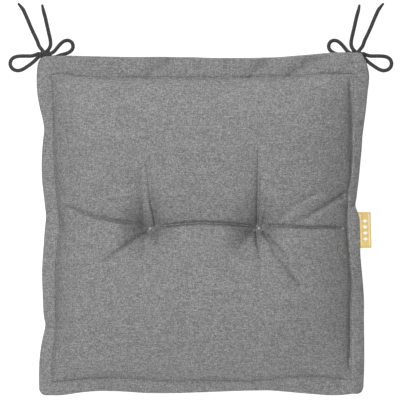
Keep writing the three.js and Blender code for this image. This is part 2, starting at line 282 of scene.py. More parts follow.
def pad_plan(s, t):
    """Place in plan of the padding's point (s, t), which runs from -1 to 1 between the seams."""
    u, v = (s + 1) / 2, (t + 1) / 2
    corner = {}
    for (side, end), (inset_x, inset_y) in SEAM_CORNERS.items():
        x = (cover_low.x if side < 0 else cover_high.x) - side * inset_x * MM
        y = (cover_low.y if end < 0 else cover_high.y) - end * inset_y * MM
        corner[side, end] = np.array((x, y))
    sw, se, nw, ne = corner[-1, -1], corner[1, -1], corner[-1, 1], corner[1, 1]
    front_x, rear_x = sw[0] + u * (se[0] - sw[0]), nw[0] + u * (ne[0] - nw[0])
    left_y, right_y = sw[1] + v * (nw[1] - sw[1]), se[1] + v * (ne[1] - se[1])
    front_y, rear_y = end_y(-1, FRONT_SEAM, front_x), end_y(1, REAR_SEAM, rear_x)
    left_x, right_x = side_x(-1, LEFT_SEAM, left_y), side_x(1, RIGHT_SEAM, right_y)
    weights = (1 - u) * (1 - v), u * (1 - v), (1 - u) * v, u * v
    flat = [sum(weight * point[k] for weight, point in zip(weights, (sw, se, nw, ne))) for k in (0, 1)]
    x = (1 - v) * front_x + v * rear_x + (1 - u) * left_x + u * right_x - flat[0]
    y = (1 - v) * front_y + v * rear_y + (1 - u) * left_y + u * right_y - flat[1]
    return x, y


# ---- the surface before it is filled ----
CELLS = 50  # cells across the padding each way in the simulation
TOP_FINENESS, UNDER_FINENESS = 4, 2  # cells of each finished panel to one of those
FLANGE_STEPS = np.array([0.05, 0.12, 0.22, 0.35, 0.5, 0.66, 0.8, 0.91, 0.97, 1.0])
CORNER_ROUND = 0.5
EDGE_DROOP = 3.0 * MM
REAR_DROOP = 1.0 * MM
RIGHT_DROOP = 5.5 * MM  # away from the label
CORNER_DROOP = 2.2 * MM
SEAM_HALF = 0.35 * MM  # half the flange's thickness in the groove of the topstitching
FLANGE_HALF = 2.0 * MM
EDGE_HALF = 0.12 * MM  # half the gap between the panels at the very edge
# Waves of the flange: height, wavelengths and seed. Those of the front and rear are slanted alike.
SIDE_WAVE = (0.9 * MM, (0.062, 0.093, 0.041), 3)
FRONT_WAVE = (0.9 * MM, (0.047, 0.078, 0.112), 11)
REAR_WAVE = (1.4 * MM, (0.047, 0.078, 0.112), 11)
WAVE_SLANT = 0.016
LABEL_MARGIN = 8 * MM  # the flange goes back to its own shape over this distance from the label
LABEL_HALF = 0.5 * MM  # half the thickness of the folded label
HALF_SPAN = 0.203
WALL_REACH = 0.003  # the cloth leaves the seam steeply over this distance
WALL_SHARE = 0.18
SHOULDERS = {-1: 0.112, 1: 0.142, 0: 0.128}  # width of the left, right, and front or rear shoulder
DOME_POWER = 2.8
BELLY = 0.030
TUFTS = {side: (sum(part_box(f"tuft_thread_{side}"), Vector()) / 2).xy for side in ("left", "right")}
SEAM_FOCUS = [(-1, 0.05, 1.6), (1, 0.05, 1.6)]
FUNNEL_DEPTH = 19 * MM  # the wide hollow round a tuft, and the steep one inside it
FUNNEL_REACH = 0.066
CORE_DEPTH = 21 * MM
CORE_REACH = 0.046
FUNNEL_POWER, CORE_POWER = 2.0, 1.15  # a higher power makes a hollow steeper in its middle
DIMPLE_DEPTH = 8 * MM  # the hollow of a tuft on the underside
DIMPLE_REACH = 0.034


def spread(places, cells):
    """Grid positions from -1 to 1, closer together round each (place, reach, weight)."""
    fine = np.linspace(-1, 1, 4001)
    density = 1 + sum(weight * np.exp(-(((fine - place) / reach) ** 2)) for place, reach, weight in places)
    travelled = np.concatenate([[0], np.cumsum((density[1:] + density[:-1]) / 2)])
    return np.interp(np.linspace(0, travelled[-1], cells + 1), travelled, fine)


def lattice(cells):
    """Grid parameters: s and t over the padding, and a and b, how far out over the flange, both signed."""
    across = spread(SEAM_FOCUS + [(tuft.x / HALF_SPAN, 0.055, 2.2) for tuft in TUFTS.values()], cells)
    along = spread(SEAM_FOCUS + [(0, 0.05, 2.4), (-0.08, 0.25, 0.6)], cells)
    outer, none = np.ones_like(FLANGE_STEPS), np.zeros(cells + 1)
    out = np.concatenate([-FLANGE_STEPS[::-1], none, FLANGE_STEPS])
    s, t = np.meshgrid(np.concatenate([-outer, across, outer]), np.concatenate([-outer, along, outer]))
    a, b = np.meshgrid(out, out)
    return s, t, a, b


def flange_plan(s, t, a, b):
    """Place in plan of every grid point, over the padding and out to the flange's rounded edge."""
    x, y = pad_plan(s, t)
    out_a, out_b = np.abs(a), np.abs(b)
    da = np.clip((out_a - CORNER_ROUND) / (1 - CORNER_ROUND), 0, 1)
    db = np.clip((out_b - CORNER_ROUND) / (1 - CORNER_ROUND), 0, 1)
    at_corner = da * db > 0
    out_a = np.where(at_corner, CORNER_ROUND + (1 - CORNER_ROUND) * da * np.sqrt(1 - db**2 / 2), out_a)
    out_b = np.where(at_corner, CORNER_ROUND + (1 - CORNER_ROUND) * db * np.sqrt(1 - da**2 / 2), out_b)
    edge_y = np.where(b < 0, end_y(-1, FRONT_EDGE, x), end_y(1, REAR_EDGE, x))
    new_y = np.where(b == 0, y, y + out_b * (edge_y - y))
    edge_x = np.where(a < 0, side_x(-1, LEFT_EDGE, new_y), side_x(1, RIGHT_EDGE, new_y))
    new_x = np.where(a == 0, x, x + out_a * (edge_x - x))
    return new_x, new_y


def flange_height(x, y, a, b):
    """Height of the flange's middle: it droops from the seam to the edge and waves along it."""
    out = np.maximum(np.abs(a), np.abs(b))
    droop = EDGE_DROOP + (REAR_DROOP - EDGE_DROOP) * (b > 0) * (1 - np.abs(a))
    droop = droop + (RIGHT_DROOP - EDGE_DROOP) * (a > 0) * (1 - np.abs(b)) * (1 - label_mask(y))
    height = SEAM_Z - droop * out**1.4 - CORNER_DROOP * np.abs(a * b)
    side = np.abs(a) * (1 - np.abs(b))
    end = np.abs(b) * (1 - np.abs(a))
    steady = 1 - label_mask(y) * (a > 0)
    height += side * steady * ripple(y, *SIDE_WAVE)
    slanted = x + WAVE_SLANT * b
    height += end * np.where(b > 0, ripple(slanted, *REAR_WAVE), ripple(slanted, *FRONT_WAVE))
    return height


def label_mask(y):
    """One beside the label and nought away from it."""
    low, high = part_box("side_label")
    return step(low.y - LABEL_MARGIN, low.y, y) * step(high.y + LABEL_MARGIN, high.y, y)


def flange_half(y, a, b):
    """Half the flange's thickness: pinched in the topstitching's groove, full, and round at the edge."""
    out = np.maximum(np.abs(a), np.abs(b))
    half = SEAM_HALF + (FLANGE_HALF - SEAM_HALF) * step(0.03, 0.12, out)
    half = half * (1 - 0.2 * step(0.4, 0.95, out))
    open_edge = np.maximum(EDGE_HALF, (LABEL_HALF + 0.5 * MM) * label_mask(y) * (a > 0.5))
    return open_edge + np.maximum(half - open_edge, 0) * np.sqrt(1 - np.clip((out - 0.9) / 0.1, 0, 1) ** 2)


def climb(inset, shoulder):
    """Height of the padding as a share of its crown: steep by the seam, then a broad shoulder."""
    wall = 1 - np.exp(-inset / WALL_REACH)
    dome = 1 - (1 - np.minimum(inset / shoulder, 1)) ** DOME_POWER
    return WALL_SHARE * wall + (1 - WALL_SHARE) * dome


def rise(s, t):
    """Height of the padding's point (s, t) as a share of the crown."""
    from_left, from_right = (1 + s) * HALF_SPAN, (1 - s) * HALF_SPAN
    from_end = (1 - np.abs(t)) * HALF_SPAN
    return climb(from_left, SHOULDERS[-1]) * climb(from_right, SHOULDERS[1]) * climb(from_end, SHOULDERS[0])


def tuft_pull(x, y, reach, power):
    """One at the nearer tuft, falling to nought at the reach."""
    pull = [np.clip(1 - np.hypot(x - tuft.x, y - tuft.y) / reach, 0, 1) ** power for tuft in TUFTS.values()]
    return np.maximum(*pull)


VALLEY_SHARPNESS, CREASE_SHARPNESS, FLANGE_FOLD_SHARPNESS = 1.3, 1.25, 1.7
# Folds: points along each in millimetres, depth at its start and end, and half width on its left and right.
# A depth below nought makes a ridge.
BETWEEN_TUFTS = [(-71, -4), (-58, -1.5), (-30, 1.6), (-3.5, 3.1), (26, 2), (54, 0), (75, -3)]
VALLEYS = [
    (BETWEEN_TUFTS, 12, 12, 24, 10),
    ([(-185, 26), (-159, 15.6), (-123, 6.8), (-81, 1.6), (-72, -4)], 1.5, 8, 15, 9),
    ([(75, -4), (119, -1.5), (187, -4)], 8, 2, 14, 10),
    ([(-71, 0), (-74, 30), (-78, 60), (-80, 90)], 12, 1.5, 15, 15),
    ([(74, 0), (74, 40), (74.5, 102)], 14, 2.5, 21, 8),
    ([(72, -8), (75, -30), (77, -56)], 8, 1, 9, 9),
    ([(-71, -8), (-71, -30), (-71, -60)], 7, 1, 11, 11),
]
CREASES = [
    (BETWEEN_TUFTS, 8, 8, 1.8, 1.6),
    ([(-187, 26), (-172, 21.8), (-159, 15.6), (-144, 10), (-123, 6.8), (-108, 4.7), (-81, 1.6), (-72, -4)],
     7.0, 7.5, 1.8, 1.6),
    ([(-76, -11), (-101, -28), (-121, -42), (-131, -49)], 10, 5.0, 2.4, 5.5),
    ([(-64, 0), (-67, 16), (-70.5, 33), (-73, 55), (-75, 78)], 12, 1.6, 2.0, 6),
    ([(-79, -2), (-80, 15), (-81.5, 40), (-83, 84)], 8, 0.8, 9, 5),
    ([(-64.5, -8), (-63, -24), (-63, -46)], 7, 0.6, 2.6, 4.5),
    ([(-77, -8), (-79, -24), (-79, -48)], 5.5, 0.6, 4.5, 2.6),
    ([(73.5, 0), (73.8, 30), (74, 60), (74.5, 99)], 8, 1.8, 2.6, 1.8),
    ([(81, -1), (84, 18), (87, 42)], 7.0, 0.6, 3, 7),
    ([(71.5, -8), (73, -24), (76.5, -44)], 10, 3.0, 3.2, 2.2),
    ([(68, -8), (50, -30), (34, -50)], 6, 1.4, 4, 10),
    ([(82, -10), (96, -27), (112, -45)], 14, 8, 1.8, 2.8),
    ([(94, -32), (108, -50), (120, -67), (131, -80)], 12, 7, 1.8, 3.2),
    ([(76, -4), (84, 0), (119.5, -1.5), (140, -3.7), (165, -3), (187, -4)], 8, 5, 1.8, 1.6),
    ([(98, 8), (113, 18), (132, 31), (152, 42)], 6.5, 3.0, 6, 2.4),
    ([(122, 3), (140, 10), (158, 21), (174, 31), (189, 39)], 3, 11.0, 6, 2.4),
    ([(165, -9), (187, -11)], 0.6, 2.2, 3, 3),
    ([(-193, 10.6), (-186, 11), (-178, 9.5)], 3.0, 0.3, 2.6, 2.6),
    ([(-193, 1), (-186, 1.2), (-179, 1)], 3.0, 0.3, 2.6, 2.6),
    ([(-193, -9.8), (-186, -9), (-179, -11)], 3.0, 0.3, 2.6, 2.6),
    ([(117, 201), (122, 193), (128, 182)], -1.2, -0.4, 5, 5),
    ([(131, 199), (133, 188), (134, 175)], 2.2, 0.6, 5, 4),
    ([(205, 201), (204, 188), (201, 168)], 9, 6, 6, 5),
    ([(199.5, 165), (200, 60)], 3.0, 2.4, 2.2, 2.6),
    ([(199, -24), (198, -84), (198, -120), (198, -150), (198, -188)], 2.2, 3, 2.2, 2.6),
    ([(199, -190), (193, -198), (199, -206)], 3, 2.2, 2.4, 2.4),
    ([(-184, 202), (-192, 192), (-198, 180), (-201, 168)], 3.4, 3, 3, 3),
]
FLANGE_FOLDS = [
    ([(-37, 226), (-50, 217), (-72, 203)], 5.4, 4, 14, 7),
    ([(-106, 225), (-114, 215), (-125, 203)], 2.6, 2.0, 12, 8),
    ([(0, 226), (-2, 214), (-3, 203)], 1.8, 1.4, 9, 7),
    ([(35, 226), (34, 215), (33, 203)], 2.2, 1.4, 7, 5),
    ([(97, 227), (85, 217), (69, 205)], 5.4, 4, 13, 7),
    ([(168, 229), (146, 218), (122, 205)], 4, 5, 12, 7),
    ([(218, 135), (211, 133.5), (202, 130)], 3.0, 2.2, 3, 3),
    ([(209, 27.5), (203, 25), (197, 22.5)], 3.2, 3.4, 2.6, 2.6),
    ([(-215, 131), (-209, 133), (-202, 133)], 3.0, 1.8, 3, 3),
    ([(-214, 14), (-206, 18), (-197, 18)], 2.2, 2.0, 5, 4),
    ([(-216, -136), (-208, -132), (-200, -127)], 3.4, 2.4, 3, 3),
    ([(-118, -228), (-120, -218), (-122, -209)], 1.8, 2.0, 4, 4),
    ([(-97, -228), (-97, -209)], 1.3, 1.3, 4, 4),
    ([(112, -227), (110, -212)], 1.4, 1.0, 5, 5),
    ([(203, 226), (201, 212)], 1.8, 1.2, 5, 5),
    ([(150, 206), (205, 205.5)], 0.4, 1.6, 1.8, 1.8),
    ([(206.5, 203), (206, 120)], 1.6, 0.4, 1.8, 1.8),
]


def fold_depth(x, y, folds, sharpness):
    """How far the folds draw the cloth down at each place, in metres: the deepest one and highest ridge."""
    sunk = np.zeros_like(x)
    raised = np.zeros_like(x)
    for path, start_depth, end_depth, left_width, right_width in folds:
        points = np.array(path) * MM
        runs = np.diff(points, axis=0)
        lengths = np.hypot(runs[:, 0], runs[:, 1])
        starts = np.concatenate([[0], np.cumsum(lengths)])
        nearest = np.full(x.shape, np.inf)
        along = np.zeros_like(x)
        left = np.zeros(x.shape, bool)
        for k, (point, run, length) in enumerate(zip(points, runs, lengths)):
            u = np.clip(((x - point[0]) * run[0] + (y - point[1]) * run[1]) / length**2, 0, 1)
            away_x, away_y = x - point[0] - u * run[0], y - point[1] - u * run[1]
            away = np.hypot(away_x, away_y)
            closer = away < nearest
            nearest = np.where(closer, away, nearest)
            along = np.where(closer, starts[k] + u * length, along)
            left = np.where(closer, run[0] * away_y - run[1] * away_x > 0, left)
        here = start_depth + (end_depth - start_depth) * along / starts[-1]
        width = np.where(left, left_width, right_width) * MM
        groove = here * MM * np.exp(-((nearest / width) ** sharpness))
        sunk = np.maximum(sunk, groove)
        raised = np.minimum(raised, groove)
    return sunk + raised


def raw_pad(cells):
    """Upper and lower grids of the pad before it is filled, each rows x columns x 3."""
    s, t, a, b = lattice(cells)
    x, y = flange_plan(s, t, a, b)
    middle, half = flange_height(x, y, a, b), flange_half(y, a, b)
    inside = (a == 0) & (b == 0)
    share = rise(s, t)
    funnels = FUNNEL_DEPTH * tuft_pull(x, y, FUNNEL_REACH, FUNNEL_POWER)
    pull = np.hypot(funnels, fold_depth(x, y, VALLEYS, VALLEY_SHARPNESS))
    crown = (CROWN - SWELL) * share - pull * step(0, 0.5, share)
    upper = np.where(inside, SEAM_Z + SEAM_HALF + crown, middle + half)
    belly = np.minimum(BELLY * share, SEAM_Z - SEAM_HALF - 0.2 * MM)
    dimple = DIMPLE_DEPTH * tuft_pull(x, y, DIMPLE_REACH, 2.0)
    lower = np.where(inside, SEAM_Z - SEAM_HALF - belly + dimple, middle - half)
    return np.stack([x, y, upper], 2), np.stack([x, y, lower], 2)


# ---- filling the pad: a cloth simulation ----
SWELL = 2.5 * MM  # the crown starts this much lower, because the pressure lifts it
PRESSURE = 2.2
SLACK = 0.004  # the panels are cut this much larger than the shape they start from
FRAMES = 20
REACH_LIMIT = 6 * MM  # no point of the cloth moves further than this
EASINGS = 3  # passes that even out how far neighbouring points move
TUFT_HOLD, VALLEY_HOLD = 0.7, 0.4  # how firmly the cloth is held round a tuft and between the tufts
CLOTH_SETTINGS = dict(
    quality=6, mass=0.15, tension_stiffness=18, compression_stiffness=10, shear_stiffness=6,
    bending_stiffness=0.5, use_pressure=True, uniform_pressure_force=PRESSURE, shrink_min=-SLACK,
    vertex_group_mass="held", pin_stiffness=5, air_damping=4,
)


def simulate(points, faces, pinned):
    """Inflates a closed cloth with some points held, and returns where every point ends."""
    mesh = bpy.data.meshes.new("inflating")
    mesh.from_pydata(points.tolist(), [], faces.tolist())
    cloth_object = add_object("inflating", mesh)
    group = cloth_object.vertex_groups.new(name="held")
    for index in np.flatnonzero(pinned > 0):
        group.add([int(index)], float(pinned[index]), "REPLACE")
    cloth = cloth_object.modifiers.new("cloth", "CLOTH")
    for key, value in CLOTH_SETTINGS.items():
        setattr(cloth.settings, key, value)
    cloth.settings.effector_weights.gravity = 0
    scene = bpy.context.scene
    scene.frame_start, scene.frame_end = 1, FRAMES
    cloth.point_cache.frame_start, cloth.point_cache.frame_end = 1, FRAMES
    for number in range(1, FRAMES + 1):
        scene.frame_set(number)
    graph = bpy.context.evaluated_depsgraph_get()
    result = cloth_object.evaluated_get(graph).to_mesh()
    moved = np.zeros(len(points) * 3)
    result.vertices.foreach_get("co", moved)
    cloth_object.evaluated_get(graph).to_mesh_clear()
    bpy.data.objects.remove(cloth_object)
    scene.frame_set(1)
    return moved.reshape(-1, 3)


def eased(field):
    """A grid of movements with each evened out with its neighbours. The seam round it stays at nought."""
    for _ in range(EASINGS):
        field[[0, -1], :] = 0
        field[:, [0, -1]] = 0
        inner = field[1:-1, 1:-1]
        around = field[:-2, 1:-1] + field[2:, 1:-1] + field[1:-1, :-2] + field[1:-1, 2:]
        field[1:-1, 1:-1] = 0.5 * inner + 0.125 * around
    return field


def fill_pad(upper, lower):
    """How far the filling moves each point of both panels between the seams, as two grids."""
    margin = len(FLANGE_STEPS)
    core = slice(margin, margin + CELLS + 1)
    side = CELLS + 1
    edge = np.zeros((side, side), bool)
    edge[[0, -1], :] = edge[:, [0, -1]] = True
    edge = edge.ravel()
    inner = np.flatnonzero(~edge)
    seam_count = int(edge.sum())
    top_index = np.where(edge, np.cumsum(edge) - 1, 0)
    top_index[inner] = seam_count + np.arange(len(inner))
    bottom_index = top_index.copy()
    bottom_index[inner] += len(inner)
    flat_top, flat_bottom = upper[core, core].reshape(-1, 3), lower[core, core].reshape(-1, 3)
    ring = (flat_top[edge] + flat_bottom[edge]) / 2
    points = np.concatenate([ring, flat_top[inner], flat_bottom[inner]])
    faces = [top_index[grid_faces(side, side)], bottom_index[grid_faces(side, side, flip=True)]]
    x, y = points[:, 0], points[:, 1]
    valley = fold_depth(x, y, VALLEYS[:1], 1.0) / (VALLEYS[0][1] * MM)
    pinned = np.maximum(TUFT_HOLD * tuft_pull(x, y, FUNNEL_REACH, 1.2), VALLEY_HOLD * valley**2)
    pinned[tuft_pull(x, y, 10 * MM, 1) > 0] = 1
    pinned[:seam_count] = 1
    shift = simulate(points, np.concatenate(faces), pinned) - points
    length = np.linalg.norm(shift, axis=1, keepdims=True)
    shift *= REACH_LIMIT * np.tanh(length / REACH_LIMIT) / np.maximum(length, 1e-9)
    return [eased(shift[index].reshape(side, side, 3)) for index in (top_index, bottom_index)]


# ---- creases, puckers and the weight on the ground ----
def refine(field, times):
    """A grid of values with its cells halved so many times, by a cubic curve through the values."""
    for axis in [0, 1] * times:
        points = field.swapaxes(0, axis)
        before = np.concatenate([points[:1], points[:-2]])
        after = np.concatenate([points[2:], points[-1:]])
        woven = np.empty((2 * len(points) - 1,) + points.shape[1:])
        woven[0::2] = points
        woven[1::2] = (9 * points[:-1] + 9 * points[1:] - before - after) / 16
        field = woven.swapaxes(0, axis)
    return field


def moved(grid, shift, fineness):
    """A panel's grid with the filling's movement added between the seams."""
    margin = len(FLANGE_STEPS)
    grid[margin:-margin, margin:-margin] += refine(shift, round(math.log2(fineness)))
    return grid


def inset_from_seam(x, y):
    """How far each grid point lies inside the side seams, and inside the end seams, near enough."""
    margin = len(FLANGE_STEPS)
    west, east = x[:, margin:margin + 1], x[:, -margin - 1:-margin]
    south, north = y[margin:margin + 1, :], y[-margin - 1:-margin, :]
    from_sides = np.minimum(x - west, east - x)
    from_ends = np.minimum(y - south, north - y)
    return from_sides, from_ends


GROUND_GAP = 0.1 * MM
DEEPEST_SHARE = 0.8  # a crease takes no more than this share of the padding's height
GATHER_REACH = 0.011  # how far the gathers run into the padding
# Waves of the gathers in the padding and of the buckles in the flange: height, wavelengths and seed.
SIDE_GATHERS = (0.8 * MM, (0.0123, 0.0187, 0.0266, 0.041), 21)
END_GATHERS = (0.7 * MM, (0.0131, 0.0179, 0.0283, 0.047), 22)
SIDE_BUCKLES = (0.35 * MM, (0.015, 0.0233, 0.034), 23)
END_BUCKLES = (0.45 * MM, (0.0166, 0.0257, 0.044), 24)
BUCKLE_SLANT = 0.6


def gathers(inset, other_inset):
    """Strength of the padding's gathers at each distance inside one pair of seams."""
    fading = np.exp(-((np.clip(inset, 0, None) / GATHER_REACH) ** 2))
    return fading * step(0, 0.004, inset) * (other_inset > 0)


def buckles(inset, other_inset, gone, full):
    """Strength of the flange's buckles, which fade from full to gone on their way to the edge."""
    return step(0, -0.006, inset) * step(gone, full, inset) * (other_inset > -0.004)


def add_puckers(grid):
    """Small gathers that the topstitching draws across the seam, in the padding and in the flange."""
    x, y = grid[..., 0], grid[..., 1]
    from_sides, from_ends = inset_from_seam(x, y)
    sides, ends = gathers(from_sides, from_ends), gathers(from_ends, from_sides)
    lift = sides * ripple(y, *SIDE_GATHERS) + ends * ripple(x, *END_GATHERS)
    sides = buckles(from_sides, from_ends, -0.02, -0.012)
    ends = buckles(from_ends, from_sides, -0.026, -0.016)
    lift += sides * ripple(y, *SIDE_BUCKLES) + ends * ripple(x + BUCKLE_SLANT * y, *END_BUCKLES)
    grid[..., 2] += lift
    return grid


def finish_pad(upper, lower):
    """Both panels with the folds of the flange, the creases and hollows of the top, and the puckers."""
    for grid in (upper, lower):
        x, y = grid[..., 0], grid[..., 1]
        inset = np.minimum(*inset_from_seam(x, y))
        outside = step(2 * MM, -2 * MM, inset)
        grid[..., 2] -= outside * fold_depth(x, y, FLANGE_FOLDS, FLANGE_FOLD_SHARPNESS)
    x, y, height = upper[..., 0], upper[..., 1], upper[..., 2] - SEAM_Z
    inside = step(-0.5 * MM, 1.5 * MM, np.minimum(*inset_from_seam(x, y)))
    depth = fold_depth(x, y, CREASES, CREASE_SHARPNESS)
    depth = depth + CORE_DEPTH * tuft_pull(x, y, CORE_REACH, CORE_POWER)
    upper[..., 2] -= inside * np.minimum(depth, DEEPEST_SHARE * np.maximum(height - SEAM_HALF, 0))
    upper = add_puckers(upper)
    lower = add_puckers(lower)
    lower[..., 2] = np.maximum(lower[..., 2], GROUND_GAP)
    return upper, lower


CLOTH = 0.45 * MM  # thickness of the cover's cloth


def cloth_piece(name, grid, thickness, material, outer_up):
    """A panel of cloth: the outer grid and the same grid one thickness further in, closed round the edge."""
    rows, columns = grid.shape[:2]
    normal = grid_normals(grid) * (1 if outer_up else -1)
    inner = grid - normal * thickness
    points = np.concatenate([grid.reshape(-1, 3), inner.reshape(-1, 3)])
    return add_mesh(name, points, shell_faces(rows, columns, outer_up), material)


def envelope(heights, reach, choose):
    """The lowest or highest value within some cells of each point, as choose is np.minimum or np.maximum."""
    out = heights
    for axis in (0, 1):
        for _ in range(reach):
            padded_heights = np.concatenate([out.take([0], axis), out, out.take([-1], axis)], axis)
            count = padded_heights.shape[axis]
            before = padded_heights.take(range(0, count - 2), axis)
            after = padded_heights.take(range(2, count), axis)
            out = choose(out, choose(before, after))
    return out


FILL_INSET = 8  # cells between the seam and the filling
FILL_STRIDE = 3
FILL_GAP = 2.0 * MM


def fill_piece(upper, lower, material):
    """The fibre filling: a closed body that follows the insides of both panels."""
    margin = len(FLANGE_STEPS)
    top = upper[margin:-margin:2, margin:-margin:2].copy()
    bottom = lower[margin:-margin, margin:-margin].copy()
    top[..., 2] = envelope(top[..., 2], FILL_STRIDE, np.minimum) - FILL_GAP
    bottom[..., 2] = envelope(bottom[..., 2], FILL_STRIDE, np.maximum) + FILL_GAP
    inner = slice(FILL_INSET, -FILL_INSET, FILL_STRIDE)
    top, bottom = top[inner, inner], bottom[inner, inner]
    rows, columns = top.shape[:2]
    points = np.concatenate([top.reshape(-1, 3), bottom.reshape(-1, 3)])
    return add_mesh("fibre_filling", points, shell_faces(rows, columns, True), material)


# ---- node materials ----
def new_material(name, roughness, sheen=0.0):
    """A new material, with its node tree, its surface and a place in metres for its textures."""
    material = bpy.data.materials.new(name)
    material.use_nodes = True
    surface = material.node_tree.nodes["Principled BSDF"]
    set_inputs(surface, {"Roughness": roughness, "Specular IOR Level": 0.25,
                         "Sheen Weight": sheen, "Sheen Roughness": 0.6})
    place = node(material.node_tree, "ShaderNodeTexCoord").outputs["Object"]
    return material, material.node_tree, surface, place


def node(tree, kind, **settings):
    made = tree.nodes.new(kind)
    for key, value in settings.items():
        setattr(made, key, value)
    return made


def noise_of(tree, coordinate, scale, detail=2.0, rough=0.5, distortion=0.0):
    """Noise stretched by its own scale along each axis, in cells a metre."""
    mapping = node(tree, "ShaderNodeMapping")
    set_inputs(mapping, {"Scale": scale})
    tree.links.new(coordinate, mapping.inputs["Vector"])
    texture = node(tree, "ShaderNodeTexNoise")
    set_inputs(texture, {"Scale": 1.0, "Detail": detail, "Roughness": rough, "Distortion": distortion})
    tree.links.new(mapping.outputs["Vector"], texture.inputs["Vector"])
    return texture.outputs["Fac"]


def scaled(tree, value, factor, added):
    """The value times the factor, plus a number or another value."""
    made = node(tree, "ShaderNodeMath", operation="MULTIPLY_ADD")
    tree.links.new(value, made.inputs[0])
    made.inputs[1].default_value = factor
    if isinstance(added, float):
        made.inputs[2].default_value = added
    else:
        tree.links.new(added, made.inputs[2])
    return made.outputs["Value"]


def ramp_of(tree, value, stops):
    made = node(tree, "ShaderNodeValToRGB")
    elements = made.color_ramp.elements
    while len(elements) < len(stops):
        elements.new(0.5)
    for element, (place, colour) in zip(elements, stops):
        element.position = place
        element.color = (*colour, 1)
    tree.links.new(value, made.inputs["Fac"])
    return made.outputs["Color"]


def bump_of(tree, surface, height, distance, strength=1.0):
    made = node(tree, "ShaderNodeBump")
    set_inputs(made, {"Distance": distance, "Strength": strength})
    tree.links.new(height, made.inputs["Height"])
    tree.links.new(made.outputs["Normal"], surface.inputs["Normal"])


def grey(value):
    return (value, value, value)


def melange_cloth():
    """Plain weave of unevenly dyed grey yarns: light and dark slubs run both ways over fine threads."""
    material, tree, surface, place = new_material("grey_melange_cloth", 0.95)
    weft = noise_of(tree, place, (200, 1500, 200), detail=2, rough=0.6)
    warp = noise_of(tree, place, (1450, 240, 240), detail=2, rough=0.6)
    grain = noise_of(tree, place, (1000, 1500, 1000), detail=1)
    long_weft = noise_of(tree, place, (42, 700, 42), detail=1)
    long_warp = noise_of(tree, place, (740, 55, 55), detail=1)
    mottle = noise_of(tree, place, (60, 60, 60), detail=3, rough=0.6)
    yarns = scaled(tree, warp, 0.75, weft)
    yarns = scaled(tree, grain, 1.25, yarns)
    slubs = scaled(tree, long_warp, 0.8, long_weft)
    total = scaled(tree, slubs, 0.21, yarns)
    total = scaled(tree, mottle, 0.15, total)
    value = scaled(tree, total, 1.5, -2.215)
    colour = ramp_of(tree, value, [(0.0, grey(0.105)), (0.5, grey(0.232)), (1.0, grey(0.42))])
    tree.links.new(colour, surface.inputs["Base Color"])
    bump_of(tree, surface, scaled(tree, slubs, 0.4, yarns), 0.3 * MM, 0.5)
    return material


def thread_material(name, dark, light):
    material, tree, surface, place = new_material(name, 0.7, sheen=0.2)
    twist = noise_of(tree, place, (900, 900, 900), detail=2)
    tree.links.new(ramp_of(tree, twist, [(0.3, dark), (0.7, light)]), surface.inputs["Base Color"])
    bump_of(tree, surface, twist, 0.1 * MM, 0.4)
    return material


def fibre_material():
    material, tree, surface, place = new_material("polyester_fibre", 0.9, sheen=0.3)
    lumps = noise_of(tree, place, (160, 160, 160), detail=6, rough=0.7, distortion=1.5)
    colour = ramp_of(tree, lumps, [(0.3, (0.66, 0.65, 0.61)), (0.7, (0.86, 0.85, 0.82))])
    tree.links.new(colour, surface.inputs["Base Color"])
    bump_of(tree, surface, lumps, 1.5 * MM, 0.8)
    return material


def cord_material():
    """Braided charcoal cord with painted shade between the strands and a painted highlight on top of them.
    Its strand attribute is one on top of a strand and nought between strands.
    """
    material, tree, surface, place = new_material("charcoal_braid", 0.75, sheen=0.15)
    strand = node(tree, "ShaderNodeAttribute", attribute_name="strand").outputs["Fac"]
    fluff = noise_of(tree, place, (700, 700, 700), detail=3)
    # painted shade and highlight: the colour is darker where the strand attribute is low, between strands,
    # and lighter on the strands' tops
    value = scaled(tree, fluff, 0.6, scaled(tree, strand, 0.7, -0.3))
    colour = ramp_of(tree, value, [(0.0, grey(0.010)), (0.45, grey(0.030)), (1.0, grey(0.075))])
    tree.links.new(colour, surface.inputs["Base Color"])
    bump_of(tree, surface, fluff, 0.15 * MM, 0.5)
    return material


# ---- sewing threads ----
def tube_faces(rings, sides):
    """Faces of a tube made of rings of points, with both its ends closed."""
    k = np.arange(sides)
    after = (k + 1) % sides
    faces = []
    for low in range(0, (rings - 1) * sides, sides):
        faces += np.stack([low + k, low + after, low + sides + after, low + sides + k], 1).tolist()
    return faces + [list(range(sides))[::-1], list(range((rings - 1) * sides, rings * sides))]


def capsules(name, starts, ends, normals, radius, sag, material, sides=6, rings=5):
    """Many short threads in one mesh. Each bulges by sag along its normal, or along the one normal given."""
    starts, ends, normals = (np.asarray(v, float) for v in (starts, ends, normals))
    along = ends - starts
    direction = along / np.linalg.norm(along, axis=1, keepdims=True)
    sideways = np.cross(direction, normals)
    sideways /= np.linalg.norm(sideways, axis=1, keepdims=True)
    upward = np.cross(sideways, direction)
    points = []
    share = np.linspace(0, 1, rings)
    girth = np.sqrt(np.clip(1 - (2 * share - 1) ** 4, 0.08, 1))
    angles = np.arange(sides) / sides * 2 * math.pi
    for u, fat in zip(share, girth):
        centre = starts + u * along + normals * (sag * (1 - (2 * u - 1) ** 2))
        for angle in angles:
            points.append(centre + radius * fat * (math.cos(angle) * sideways + math.sin(angle) * upward))
    points = np.stack(points, 1).reshape(-1, 3)
    one_thread = tube_faces(rings, sides)
    faces = [[i + n * rings * sides for i in face] for n in range(len(starts)) for face in one_thread]
    return add_mesh(name, points, faces, material)


STITCH_PITCH = 3.3 * MM
STITCH_LENGTH = 2.5 * MM
STITCH_RADIUS = 0.4 * MM
STITCH_LIFT = 0.1 * MM  # how far the stitches stand out of the groove
STITCH_SAG = 0.25 * MM
EDGE_STITCH_PITCH = 3.5 * MM
EDGE_STITCH_LENGTH = 2.6 * MM


